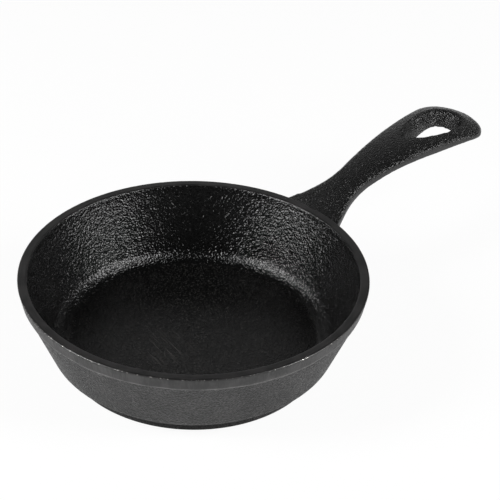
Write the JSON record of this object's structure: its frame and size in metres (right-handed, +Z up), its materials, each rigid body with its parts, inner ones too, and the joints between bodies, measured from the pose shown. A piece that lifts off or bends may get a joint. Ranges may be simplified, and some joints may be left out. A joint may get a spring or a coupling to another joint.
{
  "type": "cast iron skillet",
  "caption": "Round cast iron skillet with a flared wall, ground rim band, flat cooking floor, raised foot ring and an upswept one-piece handle that ends in a teardrop hang hole.",
  "frame": {"origin": "centre of the foot ring's underside, on the surface that the pan stands on", "axes": "+Z up along the pan's axis, out of its mouth; +X from that axis along the handle; +Y completes the right-handed frame"},
  "size_m": [0.2827, 0.1646, 0.0581],
  "materials": {
    "cast_skin": "sand-cast and seasoned, fine pebbly grain, matte to satin",
    "ground_rim": "rim ground flat before seasoning, fine vertical grinding marks, satin",
    "cooking_surface": "sand-cast and seasoned, fine even grain, satin"
  },
  "bodies": {
    "root": {"rim_band": "ground_rim", "side_wall": "cast_skin", "cooking_floor": "cooking_surface", "foot_ring": "cast_skin", "handle_root": "cast_skin", "handle_grip": "cast_skin", "hanging_eye": "cast_skin"}
  },
  "joints": []
}
